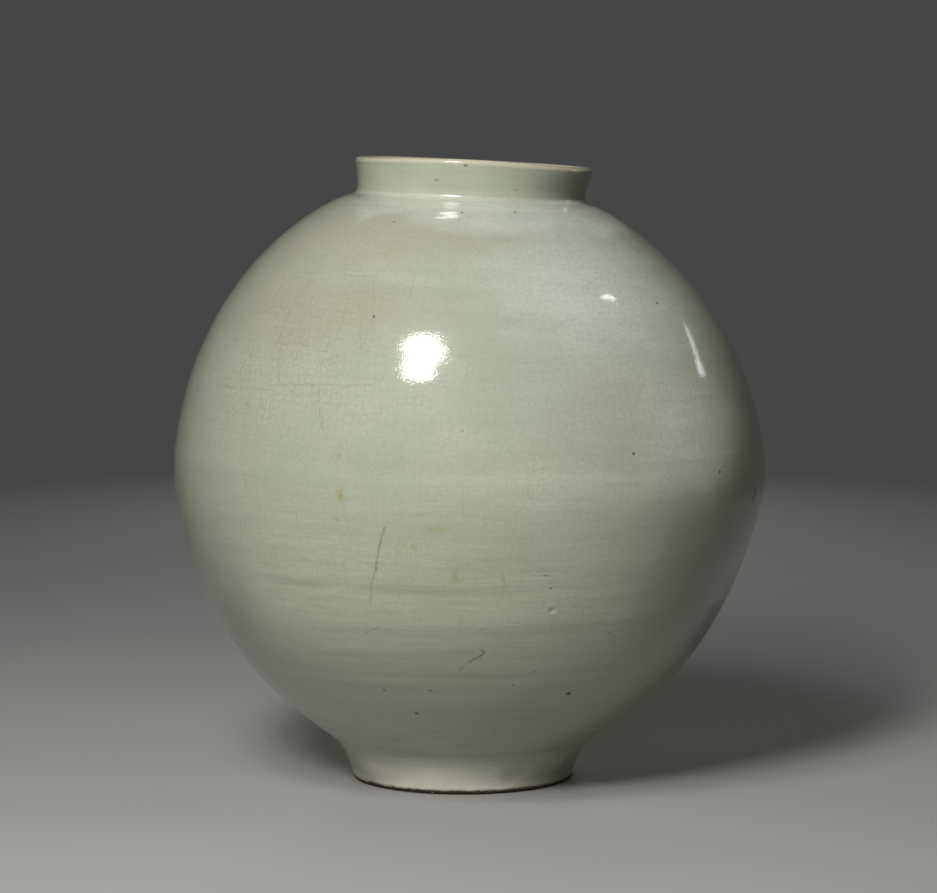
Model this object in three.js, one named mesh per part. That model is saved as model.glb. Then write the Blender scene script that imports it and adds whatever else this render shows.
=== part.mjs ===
// Large round porcelain jar: two wheel-thrown bowls luted rim to rim, on a foot ring, under a mouth collar.
// Millimetres, +Z up. The jar stands on its foot ring at z = 0, with its box centred on the Z axis.
import * as THREE from 'three'
import { mergeVertices } from 'three/addons/utils/BufferGeometryUtils.js'

// Foot ring: narrower where it meets the table, with a flat bearing face between two rounded edges
const FOOT_HEIGHT = 24
const WAIST_RADIUS = 87
const FOOT_TAPER = 8
const FOOT_FLARE_HEIGHT = 9
const FOOT_FACE_WIDTH = 6
const FOOT_OUTER_ROUND = 2.5
const FOOT_INNER_ROUND = 1.5
const FOOT_BORE_DRAFT = 1

// Lower bowl: the slope of its curve at the waist, the lean at its rim, and how far each one carries
const LOWER_HEIGHT = 193
const BELLY_RADIUS = 211.4
const WAIST_SLOPE = 35.5
const WAIST_REACH = 50
const LOWER_RIM_LEAN = 9.5
const LOWER_RIM_REACH = 129
const BASE_THICKNESS = 10
const WAIST_WALL = 12
const BELLY_WALL = 8.5

// Upper bowl: the same for its rim and for the shoulder, which ends in a level seat round the mouth
const UPPER_HEIGHT = 196.2
const UPPER_RIM_LEAN = 3.2
const UPPER_RIM_REACH = 137
const SHOULDER_SLOPE = 8.5
const SHOULDER_REACH = 13
const SHOULDER_WALL = 7.2

// Mouth collar: a short thrown neck that opens a little towards a half-round lip
const COLLAR_HEIGHT = 25.8
const NECK_RADIUS = 81
const COLLAR_WALL = 7.5
const COLLAR_HOLLOW = 0.9
const LIP_FLARE = 3.3
const LIP_WALL = 7

// Luting slip: the layer in each joint, the roll it leaves inside the belly and its fillet under the collar.
// The ridge where the bowls meet is wiped round for a reach above and below the joint.
const FOOT_SLIP = 1.2
const BELLY_SLIP = 3
const BELLY_SLIP_PROUD = 0.3
const BELLY_ROLL = 2
const NECK_SLIP = 2.4
const NECK_FILLET = 4
const JOINT_GAP = 0.2
const WIPE_REACH = 18

// How the jar settled in the kiln: each level of it slid towards +X and tipped down on that side
const LIP_TILT = 2.9
const TILT_GROWTH = 1.35
const LOWER_SLIDE = 2
const LOWER_SLIDE_RISE = 50
const UPPER_SLIDE = 3.9
const UPPER_SLIDE_BELOW = 89
const UPPER_SLIDE_ABOVE = 45
const COLLAR_SLIDE = 2.4

// Faceting
const SEGMENTS = 60
const WALL_STEPS = 14
const EDGE_STEPS = 3

// Levels of the three joints and of the lip
const BELLY_LEVEL = FOOT_HEIGHT + LOWER_HEIGHT
const NECK_LEVEL = BELLY_LEVEL + UPPER_HEIGHT
const LIP_LEVEL = NECK_LEVEL + COLLAR_HEIGHT

const MOUTH_RADIUS = NECK_RADIUS - COLLAR_WALL
const LIP_RADIUS = NECK_RADIUS + LIP_FLARE
const FOOT_FACE_OUTER = WAIST_RADIUS - FOOT_TAPER - FOOT_OUTER_ROUND
const FOOT_FACE_INNER = FOOT_FACE_OUTER - FOOT_FACE_WIDTH
const FOOT_BORE = FOOT_FACE_INNER - FOOT_INNER_ROUND - FOOT_BORE_DRAFT

const GLAZE = 0xb2b7a2
const GLAZE_SHADE = 0x9f9e89
const GLAZE_ON_SLIP = 0xb5b6a2

const at = (radius, level) => new THREE.Vector2(radius, level)

// The point that lies a given reach from another, in a direction given in degrees from level
function reachFrom(point, reach, degrees) {
  const direction = THREE.MathUtils.degToRad(degrees)
  return at(point.x + reach * Math.cos(direction), point.y + reach * Math.sin(direction))
}

// A quarter round or half round of a profile, between two angles in degrees
function round(centre, radius, from, to, steps) {
  const points = []
  for (let i = 0; i <= steps; i += 1) {
    points.push(reachFrom(centre, radius, THREE.MathUtils.lerp(from, to, i / steps)))
  }
  return points
}

// The inside of a thrown wall: its outer curve moved in by a thickness that changes evenly along it
function insideOf(curve, firstWall, lastWall) {
  const points = []
  for (let i = 0; i <= WALL_STEPS; i += 1) {
    const along = i / WALL_STEPS
    const wall = THREE.MathUtils.lerp(firstWall, lastWall, along)
    const direction = curve.getTangentAt(along)
    const inward = at(-direction.y, direction.x)
    points.push(curve.getPointAt(along).addScaledVector(inward, wall))
  }
  return points
}

// A point of a profile after the wiping of the belly joint, which takes the corner between the rims off
function wiped(point) {
  const { degToRad } = THREE.MathUtils
  const corner = Math.tan(degToRad(LOWER_RIM_LEAN)) + Math.tan(degToRad(UPPER_RIM_LEAN))
  const near = Math.max(WIPE_REACH - Math.abs(point.y - BELLY_LEVEL), 0)
  return at(point.x - corner * near ** 2 / (4 * WIPE_REACH), point.y)
}

// How far the kiln slid the level ring at a height towards +X
function slideAt(level) {
  const ease = THREE.MathUtils.smoothstep
  const lower = LOWER_SLIDE * ease(level, FOOT_HEIGHT, FOOT_HEIGHT + LOWER_SLIDE_RISE)
  const upper = UPPER_SLIDE * ease(level, BELLY_LEVEL - UPPER_SLIDE_BELOW, BELLY_LEVEL + UPPER_SLIDE_ABOVE)
  const collar = COLLAR_SLIDE * ease(level, NECK_LEVEL, LIP_LEVEL)
  return lower + upper + collar
}

// How far that ring tipped: nothing at the table, most at the lip
function tiltAt(level) {
  const rise = Math.max(level / LIP_LEVEL, 0)
  return THREE.MathUtils.degToRad(LIP_TILT) * rise ** TILT_GROWTH
}

function settleInKiln(geometry) {
  const place = geometry.attributes.position
  for (let i = 0; i < place.count; i += 1) {
    const x = place.getX(i)
    const level = place.getZ(i)
    place.setX(i, x + slideAt(level))
    place.setZ(i, level - tiltAt(level) * x)
  }
}

// A piece as thrown on the wheel from its profile, then settled with the rest of the jar
function thrown(name, profile, color, roughness) {
  const wheel = new THREE.LatheGeometry(profile.map(wiped), SEGMENTS)
  wheel.rotateX(Math.PI / 2)
  wheel.deleteAttribute('normal')
  wheel.deleteAttribute('uv')
  const geometry = mergeVertices(wheel)
  settleInKiln(geometry)
  geometry.computeVertexNormals()
  const material = new THREE.MeshStandardMaterial({ color, roughness, metalness: 0 })
  const mesh = new THREE.Mesh(geometry, material)
  mesh.name = name
  return mesh
}

// A piece that runs round the jar as a ring: its profile closes on itself
function ring(name, profile, color, roughness) {
  return thrown(name, [...profile, profile[0]], color, roughness)
}

function footRing() {
  const top = FOOT_HEIGHT - FOOT_SLIP / 2 - JOINT_GAP
  const foot = at(WAIST_RADIUS - FOOT_TAPER, FOOT_OUTER_ROUND)
  const waist = at(WAIST_RADIUS, top)
  const flare = at(THREE.MathUtils.lerp(foot.x, waist.x, 0.5), top - FOOT_FLARE_HEIGHT)
  const side = new THREE.QuadraticBezierCurve(foot, flare, waist)
  const outerEdge = at(FOOT_FACE_OUTER, FOOT_OUTER_ROUND)
  const innerEdge = at(FOOT_FACE_INNER, FOOT_INNER_ROUND)
  const profile = [
    ...round(innerEdge, FOOT_INNER_ROUND, 180, 270, EDGE_STEPS),
    ...round(outerEdge, FOOT_OUTER_ROUND, 270, 360, EDGE_STEPS).slice(0, -1),
    ...side.getPoints(EDGE_STEPS),
    at(FOOT_BORE, top),
  ]
  return ring('foot_ring', profile, GLAZE_SHADE, 0.4)
}

function footSlip() {
  const top = FOOT_HEIGHT + FOOT_SLIP / 2
  const bottom = FOOT_HEIGHT - FOOT_SLIP / 2
  const profile = [
    at(FOOT_BORE, bottom),
    at(WAIST_RADIUS, bottom),
    at(WAIST_RADIUS, top),
    at(FOOT_BORE, top),
  ]
  return ring('foot_luting_slip', profile, GLAZE_ON_SLIP, 0.35)
}

function lowerBowl() {
  const waist = at(WAIST_RADIUS, FOOT_HEIGHT + FOOT_SLIP / 2 + JOINT_GAP)
  const rim = at(BELLY_RADIUS, BELLY_LEVEL - BELLY_SLIP / 2 - JOINT_GAP)
  const side = new THREE.CubicBezierCurve(
    waist,
    reachFrom(waist, WAIST_REACH, WAIST_SLOPE),
    reachFrom(rim, LOWER_RIM_REACH, 270 - LOWER_RIM_LEAN),
    rim,
  )
  const inside = insideOf(side, WAIST_WALL, BELLY_WALL).slice(0, -1)
  const profile = [
    at(0, waist.y),
    ...side.getSpacedPoints(WALL_STEPS),
    at(BELLY_RADIUS - BELLY_WALL, rim.y),
    ...inside.reverse(),
    at(0, waist.y + BASE_THICKNESS),
  ]
  return thrown('lower_bowl', profile, GLAZE, 0.2)
}

function bellySlip() {
  const top = BELLY_LEVEL + BELLY_SLIP / 2
  const bottom = BELLY_LEVEL - BELLY_SLIP / 2
  const inside = BELLY_RADIUS - BELLY_WALL
  const profile = [
    at(BELLY_RADIUS, bottom),
    at(BELLY_RADIUS + BELLY_SLIP_PROUD, BELLY_LEVEL),
    at(BELLY_RADIUS, top),
    at(inside, top),
    at(inside - BELLY_ROLL, BELLY_LEVEL),
    at(inside, bottom),
  ]
  return ring('belly_luting_slip', profile, GLAZE_ON_SLIP, 0.25)
}

function upperBowl() {
  const rim = at(BELLY_RADIUS, BELLY_LEVEL + BELLY_SLIP / 2 + JOINT_GAP)
  const seat = at(NECK_RADIUS + NECK_FILLET, NECK_LEVEL)
  const side = new THREE.CubicBezierCurve(
    rim,
    reachFrom(rim, UPPER_RIM_REACH, 90 + UPPER_RIM_LEAN),
    reachFrom(seat, SHOULDER_REACH, -SHOULDER_SLOPE),
    seat,
  )
  const inside = insideOf(side, BELLY_WALL, SHOULDER_WALL).slice(1)
  const profile = [
    ...side.getSpacedPoints(WALL_STEPS),
    at(MOUTH_RADIUS, NECK_LEVEL),
    at(MOUTH_RADIUS, NECK_LEVEL - SHOULDER_WALL),
    ...inside.reverse(),
    at(BELLY_RADIUS - BELLY_WALL, rim.y),
  ]
  return ring('upper_bowl', profile, GLAZE, 0.2)
}

function neckSlip() {
  const bottom = NECK_LEVEL + JOINT_GAP
  const top = bottom + NECK_SLIP
  const skirt = new THREE.QuadraticBezierCurve(
    at(NECK_RADIUS + NECK_FILLET, bottom),
    at(NECK_RADIUS, bottom),
    at(NECK_RADIUS, top),
  )
  const profile = [
    at(MOUTH_RADIUS, bottom),
    ...skirt.getPoints(EDGE_STEPS),
    at(MOUTH_RADIUS, top),
  ]
  return ring('neck_luting_slip', profile, GLAZE_ON_SLIP, 0.25)
}

function mouthCollar() {
  const bottom = NECK_LEVEL + NECK_SLIP + 2 * JOINT_GAP
  const lip = at(LIP_RADIUS - LIP_WALL / 2, LIP_LEVEL - LIP_WALL / 2)
  const middle = at(NECK_RADIUS + LIP_FLARE / 2 - COLLAR_HOLLOW, (bottom + lip.y) / 2)
  const side = new THREE.QuadraticBezierCurve(at(NECK_RADIUS, bottom), middle, at(LIP_RADIUS, lip.y))
  const profile = [
    ...side.getPoints(EDGE_STEPS).slice(0, -1),
    ...round(lip, LIP_WALL / 2, 0, 180, 2 * EDGE_STEPS),
    at(MOUTH_RADIUS, bottom),
  ]
  return ring('mouth_collar', profile, GLAZE, 0.25)
}

const jar = new THREE.Group()
jar.add(footRing(), footSlip(), lowerBowl(), bellySlip(), upperBowl(), neckSlip(), mouthCollar())

// The lean moves the jar's box off the foot's axis, so the group is placed by the middle of that box
const middle = new THREE.Box3().setFromObject(jar).getCenter(new THREE.Vector3())
jar.position.set(-middle.x, -middle.y, 0)

export default jar
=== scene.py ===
import functools
import math
import random

import bmesh
import bpy
import numpy as np
from mathutils import Matrix, Vector


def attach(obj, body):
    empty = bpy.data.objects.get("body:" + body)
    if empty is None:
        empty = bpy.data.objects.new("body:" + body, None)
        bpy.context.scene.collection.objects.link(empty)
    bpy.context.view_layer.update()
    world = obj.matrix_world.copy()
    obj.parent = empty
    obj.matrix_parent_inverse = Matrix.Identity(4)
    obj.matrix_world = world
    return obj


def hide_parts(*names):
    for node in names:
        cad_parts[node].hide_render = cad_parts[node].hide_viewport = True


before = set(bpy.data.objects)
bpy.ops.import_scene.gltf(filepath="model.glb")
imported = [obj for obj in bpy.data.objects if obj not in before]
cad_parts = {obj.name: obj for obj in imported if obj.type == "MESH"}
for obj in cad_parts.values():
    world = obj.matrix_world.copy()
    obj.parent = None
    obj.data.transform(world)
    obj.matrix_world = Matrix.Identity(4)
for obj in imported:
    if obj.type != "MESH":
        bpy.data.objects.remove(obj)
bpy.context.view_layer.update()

MM = 0.001
FULL_TURN = 360

# Clay sizes, as in the solids.
FOOT_LEVEL = 24
BELLY_LEVEL = 217
NECK_LEVEL = 413.2
LIP_LEVEL = 439
FOOT_FACE_OUTER = 75.2
FOOT_FACE_INNER = 70.5
FOOT_OUTER_ROUND = 3.8
FOOT_INNER_ROUND = 1.5
FOOT_BORE = 68
FOOT_BEND = (83, 14.2)
WAIST_RADIUS = 87
WAIST_SLOPE = 35.5
WAIST_REACH = 50
BELLY_RADIUS = 211.4
LOWER_RIM_LEAN = 9.5
LOWER_RIM_REACH = 129
UPPER_RIM_LEAN = 3.2
UPPER_RIM_REACH = 137
SEAT_RADIUS = 85
SHOULDER_SLOPE = 8.5
SHOULDER_REACH = 13
NECK_RADIUS = 81
MOUTH_RADIUS = 73.5
COLLAR_BEND = 81.75
LIP_RADIUS = 84.3
LIP_ROUND = 3.5
WAIST_WALL = 12
BELLY_WALL = 8.5
SHOULDER_WALL = 7.2
BASE_THICKNESS = 10

# Half the height of each luted layer, to the middle of the hairline beside it.
FOOT_SLIP_HALF = 0.7
BELLY_SLIP_HALF = 1.6
NECK_SLIP_HEIGHT = 2.6
BELLY_SLIP_PROUD = 0.18
BELLY_ROLL = 2
WIPE_REACH = 18

# How the jar leaned as it settled in the kiln.
LIP_TILT = 2.9
TILT_GROWTH = 1.35
SLIDES = ((2, 24, 74), (3.9, 128, 262), (2.4, 413.2, 439))
BOX_SHIFT = 4.8759
FRONT_LIFT = 3
FRONT_LIFT_POWER = 3
FRONT_LIFT_LEVELS = (402, 437)

# How finely the shells are drawn.
SEGMENTS = 288
TURNS = np.arange(SEGMENTS) * FULL_TURN / SEGMENTS
BOWL_POINTS = 600
SIDE_POINTS = 60
LIP_POINTS = 40
FLOOR_POINTS = 30
FILLET_POINTS = 20
FOOT_EDGE_POINTS = 16
BORE_POINTS = 12
ROLL_POINTS = 9
SMALL_ROUND_POINTS = 6
OUTLINE_STEP = 0.2
BODY_RING_SPACING = 1.5
RING_SPACINGS = {
    "foot_ring": 0.9,
    "foot_luting_slip": 0.5,
    "belly_luting_slip": 0.6,
    "neck_luting_slip": 0.5,
    "mouth_collar": 0.6,
}
INSIDE_RING_SPACING = 3.2
NECK_REACH = 46
NECK_RING_SPACING = 0.6

# Where slip and glaze round a joint: its level, and how far along the wall.
SOFT_JOINTS = ((24, 6), (217, 4), (414.4, 2.8))
# How wide the rounding looks, how far it carries and how sharply it fades, in reaches.
BELL_REACHES = 3
JOINT_REACHES = 2.5
JOINT_FADE_POWER = 4

# The photograph's frame and where it was taken from.
PHOTO_WIDTH = 937
PHOTO_FOCAL = 3811
SENSOR_WIDTH = 36
CAMERA_PLACE = (-0.65, -2700, 490)
CAMERA_TARGET = (-0.65, 0, 236.7)

RANDOM_SEED = 17
SHARP_EDGE_ANGLE = 35
WELD_GAP = 0.001


def linear(hex_colour):
    """An sRGB hex colour as linear red, green and blue, with full cover."""
    parts = [int(hex_colour[i:i + 2], 16) / 255 for i in (0, 2, 4)]
    return [c / 12.92 if c <= 0.04045 else ((c + 0.055) / 1.055) ** 2.4 for c in parts] + [1]


def add_node(tree, kind, inputs, output=0, **settings):
    """Adds a node of a kind, and of an operation named after it, and gives one of its outputs.

    Its sockets are given in order or by name, and are filled or linked.
    """
    kind, _, operation = kind.partition(" ")
    made = tree.nodes.new("ShaderNode" + kind)
    if operation:
        made.operation = operation
    for name, value in settings.items():
        setattr(made, name, value)
    sockets = inputs if isinstance(inputs, dict) else dict(enumerate(inputs))
    for socket, value in sockets.items():
        if isinstance(value, bpy.types.NodeSocket):
            tree.links.new(value, made.inputs[socket])
        else:
            made.inputs[socket].default_value = value
    return made.outputs[output] if made.outputs else made


def smoothstep(low, high, value):
    """Eases from none at the low level to one at the high level."""
    run = np.clip((value - low) / (high - low), 0, 1)
    return run * run * (3 - 2 * run)


def slide(level):
    """How far a level slid to the right in the kiln."""
    return sum(reach * smoothstep(low, high, level) for reach, low, high in SLIDES)


def tilt(level):
    """How far a level tipped, as a slope."""
    return math.radians(LIP_TILT) * np.maximum(level / LIP_LEVEL, 0) ** TILT_GROWTH


def front_lift(turn, level):
    """How much higher the front of the mouth stands, as the hand left it."""
    facing = np.maximum(np.cos(np.radians(turn)), 0) ** FRONT_LIFT_POWER
    return FRONT_LIFT * facing * smoothstep(*FRONT_LIFT_LEVELS, level)


def settled(radius, turn, level):
    """Where a point of the thrown form lies in the frame, in millimetres."""
    side = radius * np.sin(np.radians(turn))
    depth = -radius * np.cos(np.radians(turn))
    height = level - tilt(level) * side + front_lift(turn, level)
    return np.stack([side + slide(level) - BOX_SHIFT, depth, height], axis=-1)


def wipe_depth(level, reach):
    """How deep the wiped belly joint lies under its sharp corner, within a reach of the joint."""
    corner = math.tan(math.radians(LOWER_RIM_LEAN)) + math.tan(math.radians(UPPER_RIM_LEAN))
    near = np.maximum(reach - np.abs(level - BELLY_LEVEL), 0)
    return corner * near ** 2 / (4 * reach)


def wiped(outline):
    """Rounds the belly joint as the wet slip is wiped with a rib."""
    lowered = outline.copy()
    lowered[:, 0] -= wipe_depth(outline[:, 1], WIPE_REACH)
    return lowered


def bezier(handles, count):
    """Points of the curve that a row of handles shapes, ends included."""
    run = np.linspace(0, 1, count)[:, None]
    rows = [np.array(handle, float)[None, :] for handle in handles]
    while len(rows) > 1:
        rows = [near + (far - near) * run for near, far in zip(rows, rows[1:])]
    return rows[0]


def from_point(point, angle, reach):
    """The handle that leaves a point at an angle."""
    bearing = math.radians(angle)
    return (point[0] + reach * math.cos(bearing), point[1] + reach * math.sin(bearing))


def arc(centre, radius, first, last, count):
    """Points of a round edge between two angles, ends included."""
    angles = np.radians(np.linspace(first, last, count))
    return np.array(centre) + radius * np.stack([np.cos(angles), np.sin(angles)], axis=-1)


def outside_runs():
    """The raw outline of each piece's outside, from the foot's edge to the inside of the lip."""
    foot_top = (WAIST_RADIUS, FOOT_LEVEL - FOOT_SLIP_HALF)
    waist = (WAIST_RADIUS, FOOT_LEVEL + FOOT_SLIP_HALF)
    lower_rim = (BELLY_RADIUS, BELLY_LEVEL - BELLY_SLIP_HALF)
    upper_rim = (BELLY_RADIUS, BELLY_LEVEL + BELLY_SLIP_HALF)
    seat = (SEAT_RADIUS, NECK_LEVEL)
    collar_foot = (NECK_RADIUS, NECK_LEVEL + NECK_SLIP_HEIGHT)
    lip_centre = (LIP_RADIUS - LIP_ROUND, LIP_LEVEL - LIP_ROUND)
    lip_start = (LIP_RADIUS, LIP_LEVEL - LIP_ROUND)
    foot_centre = (FOOT_FACE_OUTER, FOOT_OUTER_ROUND)
    foot_edge = arc(foot_centre, FOOT_OUTER_ROUND, 270, 360, FOOT_EDGE_POINTS)
    foot_side = bezier([foot_edge[-1], FOOT_BEND, foot_top], SIDE_POINTS)
    lower_side = bezier([
        waist,
        from_point(waist, WAIST_SLOPE, WAIST_REACH),
        from_point(lower_rim, 270 - LOWER_RIM_LEAN, LOWER_RIM_REACH),
        lower_rim,
    ], BOWL_POINTS)
    upper_side = bezier([
        upper_rim,
        from_point(upper_rim, 90 + UPPER_RIM_LEAN, UPPER_RIM_REACH),
        from_point(seat, -SHOULDER_SLOPE, SHOULDER_REACH),
        seat,
    ], BOWL_POINTS)
    collar_middle = (COLLAR_BEND, (collar_foot[1] + lip_start[1]) / 2)
    collar_side = bezier([collar_foot, collar_middle, lip_start], SIDE_POINTS)
    lip = arc(lip_centre, LIP_ROUND, 0, 180, LIP_POINTS)
    belly_crown = (BELLY_RADIUS + BELLY_SLIP_PROUD, BELLY_LEVEL)
    fillet = bezier([seat, (NECK_RADIUS, NECK_LEVEL), collar_foot], FILLET_POINTS)
    return {
        "foot_ring": np.concatenate([foot_edge, foot_side[1:]]),
        "foot_luting_slip": np.array([foot_top, waist]),
        "lower_bowl": lower_side,
        "belly_luting_slip": np.array([lower_rim, belly_crown, upper_rim]),
        "upper_bowl": upper_side,
        "neck_luting_slip": fillet,
        "mouth_collar": np.concatenate([collar_side, lip[1:]]),
    }


def lengths_along(points):
    """How far along a line of points each one lies."""
    steps = np.linalg.norm(np.diff(points, axis=0), axis=1)
    return np.concatenate([[0], np.cumsum(steps)])


def resampled(places, lengths, values):
    """Pairs of values along a line, read at other lengths along it."""
    return np.stack([np.interp(places, lengths, column) for column in values.T], axis=-1)


def outward(outline):
    """Unit normals of an outline that is followed upwards along the outside."""
    along = np.gradient(outline, axis=0)
    across = np.stack([along[:, 1], -along[:, 0]], axis=-1)
    return across / np.linalg.norm(across, axis=1, keepdims=True)


def softened(points, level, reach):
    """Rounds a joint as wet slip and pooled glaze do, within a reach of its level."""
    side = int(BELL_REACHES * reach / OUTLINE_STEP)
    weights = np.exp(-0.5 * (np.arange(-side, side + 1) * OUTLINE_STEP / reach) ** 2)
    weights /= weights.sum()
    padded = np.pad(points, ((side, side), (0, 0)), mode="edge")
    smooth = np.stack([np.convolve(column, weights, mode="valid") for column in padded.T], axis=-1)
    middle = np.abs(points[:, 1] - level).argmin()
    away = np.abs(np.arange(len(points)) - middle) * OUTLINE_STEP
    share = np.exp(-((away / (JOINT_REACHES * reach)) ** JOINT_FADE_POWER))[:, None]
    return points * (1 - share) + smooth * share


def outside_outline():
    """The whole outside as even steps, with its normals and where each piece starts and ends."""
    runs = {name: wiped(run) for name, run in outside_runs().items()}
    cuts = {}
    start = 0
    for name, run in runs.items():
        cuts[name] = (start, start + lengths_along(run)[-1])
        start = cuts[name][1]
    raw = np.concatenate([run[1:] if cuts[name][0] else run for name, run in runs.items()])
    length = np.arange(0, start, OUTLINE_STEP)
    points = resampled(length, lengths_along(raw), raw)
    for level, reach in SOFT_JOINTS:
        points = softened(points, level, reach)
    return {"length": length, "points": points, "normals": outward(points), "cuts": cuts}


def along_outline(outline, places):
    """Points and normals at given lengths along the outside."""
    points = resampled(places, outline["length"], outline["points"])
    normals = resampled(places, outline["length"], outline["normals"])
    return points, normals / np.linalg.norm(normals, axis=1, keepdims=True)


def piece_outline(outline, name):
    """The rings' points and normals on one piece's outside."""
    first, last = outline["cuts"][name]
    spacing = RING_SPACINGS.get(name, BODY_RING_SPACING)
    runs = [(first, last, spacing)]
    if name == "upper_bowl":
        neck = last - NECK_REACH
        runs = [(first, neck, spacing), (neck, last, NECK_RING_SPACING)]
    places = [first]
    for start, end, step in runs:
        count = max(int(round((end - start) / step)) + 1, 3)
        places.extend(np.linspace(start, end, count)[1:])
    return along_outline(outline, np.array(places))


# Soft unevenness of the whole jar: how many waves, their lengths, how far they lean upright.
WAVE_COUNT = 26
WAVE_LENGTHS = (70, 170)
WAVE_SPREAD = (1, 1, 1.4)


def hand_waves(draw):
    """Random waves that together give a soft unevenness of hand-thrown clay."""
    waves = []
    for _ in range(WAVE_COUNT):
        heading = np.array([draw.gauss(0, spread) for spread in WAVE_SPREAD])
        heading /= np.linalg.norm(heading)
        length = draw.uniform(*WAVE_LENGTHS)
        waves.append((heading * 2 * math.pi / length, draw.uniform(0, 2 * math.pi)))
    return waves


# Marks of rib and turning tool: level, half height, rise of the clay, middle turn, reach in turn.
TOOL_MARKS = (
    (258, 3, -0.04, 30, 80),
    (246, 2.6, 0.1, -8, 80),
    (238, 3, -0.07, -20, 70),
    (228, 2.6, 0.06, 5, 70),
    (203, 4, -0.05, 10, 80),
    (181, 4, 0.06, -10, 80),
    (157, 3.4, -0.17, -6, 48),
    (118, 3, -0.08, -10, 80),
    (107, 2.6, -0.08, -20, 80),
    (96, 2.4, -0.11, -12, 90),
    (83, 2.4, -0.06, 10, 110),
    (62, 2.2, -0.06, 0, 120),
    (44, 2, -0.05, -20, 120),
)
# Ledges where a cut of the trimming tool ended: level, height, reach above, reach below,
# middle turn, reach in turn.
LEDGES = (
    (135.5, 0.36, 13, 9, 26, 85),
    (101, 0.16, 8, 7, 14, 80),
    (91.5, 0.18, 6, 9, 22, 80),
    (128, 0.25, 12, 10, 170, 100),
)
MARK_FLOOR = 0.35
MARK_FULL = 0.4
LEDGE_FULL = 0.3
MARK_WANDER = 1.6
MARK_SCATTER = 7
LEDGE_SCATTER = 5
SPIRAL_PITCH = 11
SPIRAL_RISE = 0.012
UNEVEN_RISE = 0.34
UNEVEN_LIMIT = 1.6
RELIEF_TOP = 0.7
RELIEF_LEAST = 0.2
RIDGE_TURN = 76
RIDGE_REACH = (30, 72)
RIDGE_WIPE_REACH = 8
FOOT_EDGE_FADE = (2, 9)
LIP_FADE = (419, 434)
LIP_CALM = 0.7


def near_turn(turn, middle, full, reach):
    """One near a middle turn, fading to none at a reach round the jar."""
    away = np.abs((turn - middle + 180) % FULL_TURN - 180)
    return 1 - smoothstep(full, reach, away)


def wander(turn, middle, reach, scatter):
    """How far a mark strays up and down round the jar, each mark in its own way."""
    return reach * np.sin(np.radians(turn + middle * scatter))


def hump(away, half):
    """A soft hump across a mark, one in its middle."""
    return np.exp(-((away / half) ** 2))


def belly_ridge(turn, level):
    """How much less the belly joint was wiped on the right, where its ridge stands out."""
    less = wipe_depth(level, WIPE_REACH) - wipe_depth(level, RIDGE_WIPE_REACH)
    return less * near_turn(turn, RIDGE_TURN, *RIDGE_REACH)


def outside_sink(turn, level, places, waves):
    """How deep the outside lies below the thrown form at each turn and level, never above it."""
    uneven = sum(np.cos(places @ heading + start) for heading, start in waves)
    uneven = uneven / math.sqrt(len(waves)) / UNEVEN_LIMIT
    rise = UNEVEN_RISE * np.clip(uneven, -1, 1)
    rise = rise + SPIRAL_RISE * np.cos(2 * math.pi * (level / SPIRAL_PITCH - turn / FULL_TURN))
    for middle, half, height, middle_turn, reach in TOOL_MARKS:
        near = near_turn(turn, middle_turn, reach * MARK_FULL, reach)
        share = MARK_FLOOR + (1 - MARK_FLOOR) * near
        off = level - middle - wander(2 * turn, middle, MARK_WANDER, MARK_SCATTER)
        rise = rise + height * share * hump(off, half)
    for middle, height, above, below, middle_turn, reach in LEDGES:
        share = near_turn(turn, middle_turn, reach * LEDGE_FULL, reach)
        off = level - middle - wander(turn, middle, MARK_WANDER, LEDGE_SCATTER)
        fall = np.where(off > 0, off / above, -off / below)
        rise = rise + height * share * np.maximum(1 - fall, 0)
    sink = np.maximum(RELIEF_TOP - rise - belly_ridge(turn, level), RELIEF_LEAST)
    calm = 1 - LIP_CALM * smoothstep(*LIP_FADE, level)
    return sink * smoothstep(*FOOT_EDGE_FADE, level) * calm


# Rings on the collar: level, half height, depth.
COLLAR_RINGS = ((419.5, 0.9, 0.05), (423.5, 1.4, 0.04), (428.6, 1.8, 0.05), (432.5, 1.2, 0.05))
# Finger grooves on the shoulder by the neck: radius, half width, depth.
SHOULDER_GROOVES = ((89.4, 1.7, 0.11), (96.8, 2, 0.12), (104, 2.6, 0.06))
SHOULDER_LEVELS = (392, 398)
GROOVE_TURN = -15
GROOVE_REACH = (22, 75)
GROOVE_FLOOR = 0.05
COLLAR_WANDER = 0.5
COLLAR_SCATTER = 31
GROOVE_WANDER = 0.6
GROOVE_SCATTER = 17


def sink_at(turn, level, radius, waves):
    """All the relief of the outside, as a depth at each turn and level."""
    sink = outside_sink(turn, level, settled(radius, turn, level), waves)
    for middle, half, depth in COLLAR_RINGS:
        off = level - middle - wander(turn, middle, COLLAR_WANDER, COLLAR_SCATTER)
        sink = sink + depth * hump(off, half)
    near = near_turn(turn, GROOVE_TURN, *GROOVE_REACH)
    share = (GROOVE_FLOOR + (1 - GROOVE_FLOOR) * near) * smoothstep(*SHOULDER_LEVELS, level)
    for middle, half, depth in SHOULDER_GROOVES:
        off = radius - middle - wander(turn, middle, GROOVE_WANDER, GROOVE_SCATTER)
        sink = sink + depth * share * hump(off, half)
    return sink


def thrown_outside(name, outline, waves):
    """The rings of a piece's outside, with the marks of throwing and turning."""
    points, normals = piece_outline(outline, name)
    turn = np.broadcast_to(TURNS, (len(points), SEGMENTS))
    level = np.broadcast_to(points[:, 1][:, None], turn.shape)
    radius = np.broadcast_to(points[:, 0][:, None], turn.shape)
    sink = sink_at(turn, level, radius, waves)
    return points[:, None, :] - normals[:, None, :] * sink[:, :, None]


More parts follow.
